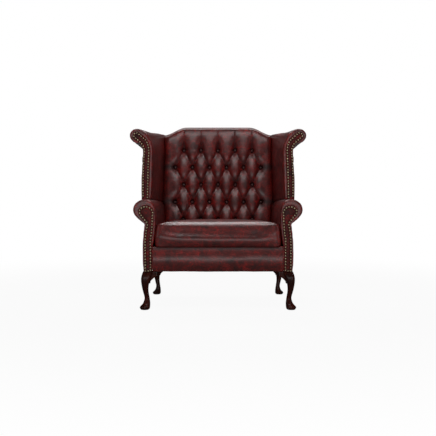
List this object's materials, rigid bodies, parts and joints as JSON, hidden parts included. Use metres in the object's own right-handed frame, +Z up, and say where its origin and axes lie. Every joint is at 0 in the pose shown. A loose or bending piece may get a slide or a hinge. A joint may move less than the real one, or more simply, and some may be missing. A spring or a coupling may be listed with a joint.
{
  "type": "wing loveseat",
  "caption": "High-back wing loveseat in oxblood leather, with a deep-buttoned back, scroll arms, a loose box cushion, dome nail trim and cabriole legs.",
  "frame": {"origin": "on the floor, under the middle of the loveseat's box", "axes": "+X to the right as seen from the front, +Y to the back, +Z up"},
  "size_m": [1.0586, 0.8072, 1.0971],
  "materials": {
    "oxblood_leather": "hand-antiqued, satin",
    "facing_leather": "hand-antiqued, satin",
    "cushion_leather": "hand-antiqued, satin",
    "button_leather": "hand-antiqued, satin",
    "mahogany": "dark stained, polished",
    "frame_timber": "sawn hardwood",
    "steel": "bright wire",
    "antique_brass": "aged, dull",
    "jute": "coarse weave",
    "platform_cloth": "plain weave",
    "dust_cloth": "black cambric",
    "foam": "foam in a fibre wrap"
  },
  "bodies": {
    "frame": {"arm_facing_left": "facing_leather", "arm_facing_nails_left": "antique_brass", "arm_facing_nails_right": "antique_brass", "arm_facing_right": "facing_leather", "arm_post_left": "frame_timber", "arm_post_right": "frame_timber", "arm_rail_left": "frame_timber", "arm_rail_right": "frame_timber", "back_buttons": "button_leather", "back_lower_rail": "frame_timber", "back_post_left": "frame_timber", "back_post_right": "frame_timber", "back_top_rail": "frame_timber", "back_webbing": "jute", "corner_block_screws": "steel", "corner_blocks": "frame_timber", "dust_cover": "dust_cloth", "front_border": "oxblood_leather", "front_leg_left": "mahogany", "front_leg_right": "mahogany", "inside_arm_left": "oxblood_leather", "inside_arm_right": "oxblood_leather", "inside_back": "oxblood_leather", "inside_wing_left": "oxblood_leather", "inside_wing_right": "oxblood_leather", "leg_bolts": "steel", "outside_arm_left": "oxblood_leather", "outside_arm_right": "oxblood_leather", "outside_back": "oxblood_leather", "outside_back_nails": "antique_brass", "outside_wing_left": "oxblood_leather", "outside_wing_right": "oxblood_leather", "rear_leg_left": "mahogany", "rear_leg_right": "mahogany", "seat_platform": "platform_cloth", "seat_rail_front": "frame_timber", "seat_rail_left": "frame_timber", "seat_rail_rear": "frame_timber", "seat_rail_right": "frame_timber", "seat_springs": "steel", "spring_clips": "steel", "wing_facing_left": "facing_leather", "wing_facing_nails_left": "antique_brass", "wing_facing_nails_right": "antique_brass", "wing_facing_right": "facing_leather", "wing_post_left": "frame_timber", "wing_post_right": "frame_timber", "wing_rail_left": "frame_timber", "wing_rail_right": "frame_timber"},
    "cushion": {"seat_cushion": "cushion_leather", "cushion_core": "foam"}
  },
  "joints": [
    {"name": "cushion_lift", "type": "slide", "parent": "frame", "child": "cushion", "axis": [0, 0, 1], "range_m": [0, 0.3]}
  ]
}
